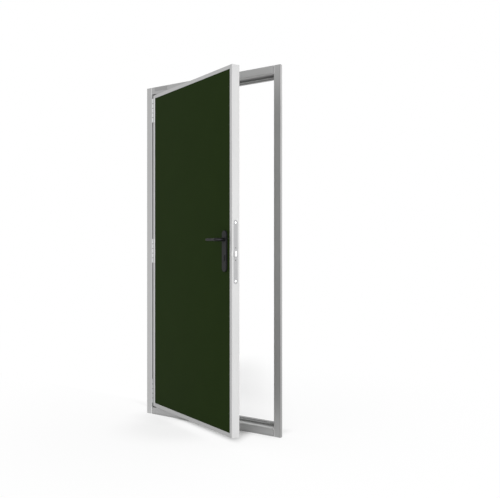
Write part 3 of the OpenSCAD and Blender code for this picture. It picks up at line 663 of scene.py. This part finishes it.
# Left of the frame the glow is kept whole, which paints the real shade out (painted light)
LEFT_OF_FRAME = (("behind_left", -0.15, -0.50), ("deep", -0.05, 0.28))
HALL = (
    ("behind_left", -0.45, -0.10),
    ("behind_right", 0.58, 0.10),
    ("deep", 0.05, 0.35),
    ("from_door", 2.9, 1.6),
)
LEFT_FOOT = (
    ("across", -0.62, -0.48),
    ("across", -0.05, -0.30),
    ("deep", -0.22, -0.04),
    ("deep", 0.08, 0.02),
)
RIGHT_FOOT = (
    ("across", 0.36, 0.44),
    ("across", 0.51, 0.445),
    ("deep", 0.03, 0.06),
    ("deep", 0.20, 0.11),
)
SILL_FRONT = (
    ("across", 0.22, 0.30),
    ("across", 0.56, 0.48),
    ("deep", -0.10, -0.015),
    ("deep", 0.03, 0.01),
)
FLOOR_MARKS = (
    (0.84, LEFT_FOOT),
    (0.50, RIGHT_FOOT),
    (0.82, SILL_FRONT),
    (0.80, (("from_pool", 0.42, 0.12), ("into", 0.03, -0.04))),
    (0.62, HALL),
    (0.34, HALL + (("deep", 0.45, 0.95),)),
)


def pale_floor():
    """Wide flat floor: pale, with soft pools of shade near the door, and plain white far from it."""
    side = np.linspace(-FLOOR_HALF, FLOOR_HALF, 3)
    xx, yy = np.meshgrid(side, side, indexing="ij")
    mesh = grid_mesh("studio_floor", np.stack([xx, yy, np.full_like(xx, FLOOR_Z)], -1))
    f = Finish(bpy.data.materials.new("pale_floor"))
    # Painted shadow: the pools under the leaf and at the sill take the darker floor colour; painted light
    # left of the frame
    pool = f.within(UNDER_LEAF).most(f.within(AT_SILL))
    whiteness = f.between(f.where("from_door"), NEAR_DOOR, FAR_FROM_DOOR, start=WHITE_NEAR)
    whiteness = whiteness * f.shaded(FLOOR_MARKS) * (1.0 - pool)
    paint = f.node("ShaderNodeBsdfPrincipled", sockets={
        "Base Color": f.mix(pool, FLOOR_PALE, FLOOR_DIM), "Roughness": 1.0, "Specular IOR Level": 0.0})
    glow = f.node("ShaderNodeEmission", sockets={"Color": WHITE, "Strength": 1.0})
    blend = f.node("ShaderNodeMixShader", sockets={
        "Fac": whiteness.most(f.within(LEFT_OF_FRAME)) * f.seen(), 1: paint, 2: glow})
    f.node("ShaderNodeOutputMaterial", sockets={"Surface": blend})
    mesh.materials.append(f.owner)
    placed("studio_floor", mesh)


def studio_world(level):
    """Even white surround: plain white to the eye and in reflections, the given level as light."""
    world = bpy.data.worlds.new("studio_surround")
    bpy.context.scene.world = world
    f = Finish(world)
    light = f.node("ShaderNodeBackground", sockets={"Color": WHITE, "Strength": level})
    plain = f.node("ShaderNodeBackground", sockets={"Color": WHITE, "Strength": 1.0})
    both = f.node("ShaderNodeMixShader", sockets={"Fac": f.seen(), 1: light, 2: plain})
    f.node("ShaderNodeOutputWorld", sockets={"Surface": both})


def softbox(name, place, aim, width, height, power):
    """Rectangular soft light at a place, facing a point."""
    lamp = bpy.data.lights.new(name, "AREA")
    lamp.shape = "RECTANGLE"
    lamp.size, lamp.size_y, lamp.energy = width, height, power
    back = np.array(place, float) - np.array(aim, float)
    back /= np.linalg.norm(back)
    piece = placed(name, lamp)
    piece.rotation_euler = (math.acos(back[2]), 0.0, math.atan2(back[1], back[0]) + math.pi / 2)
    piece.location = place


LENS_MM = 48.557
SENSOR_MM = 36.0
LENS_SHIFT = 0.0008
NEAR_CLIP, FAR_CLIP = 0.05, 200.0
CAMERA_PLACE = (2.5333, -3.2172, 1.0590)
CAMERA_TURN = math.radians(34.825)


def photo_camera():
    """Camera at the photograph's place, level, with its angle of view."""
    lens = bpy.data.cameras.new("door_camera")
    lens.sensor_fit = "HORIZONTAL"
    lens.sensor_width = SENSOR_MM
    lens.lens = LENS_MM
    lens.shift_y = LENS_SHIFT
    lens.clip_start, lens.clip_end = NEAR_CLIP, FAR_CLIP
    piece = placed("door_camera", lens)
    piece.location = CAMERA_PLACE
    piece.rotation_euler = (math.pi / 2, 0.0, CAMERA_TURN)
    bpy.context.scene.camera = piece


pale_floor()
studio_world(level=0.85)
softbox("right_softbox", place=(4.5, -1.5, 1.3), aim=(0.3, -0.1, 1.1), width=4.6, height=2.6, power=84.0)
softbox("edge_softbox", place=(4.5, 0.8, 1.1), aim=(0.4, -0.3, 1.05), width=1.6, height=4.6, power=29.0)
softbox("left_softbox", place=(-4.4, -3.0, 1.2), aim=(-0.1, -0.1, 1.0), width=4.0, height=3.0, power=12.0)
softbox("top_softbox", place=(0.4, -2.6, 4.8), aim=(0.0, 0.0, 1.0), width=2.5, height=2.5, power=8.0)
photo_camera()
bpy.context.scene.view_settings.view_transform = "Standard"
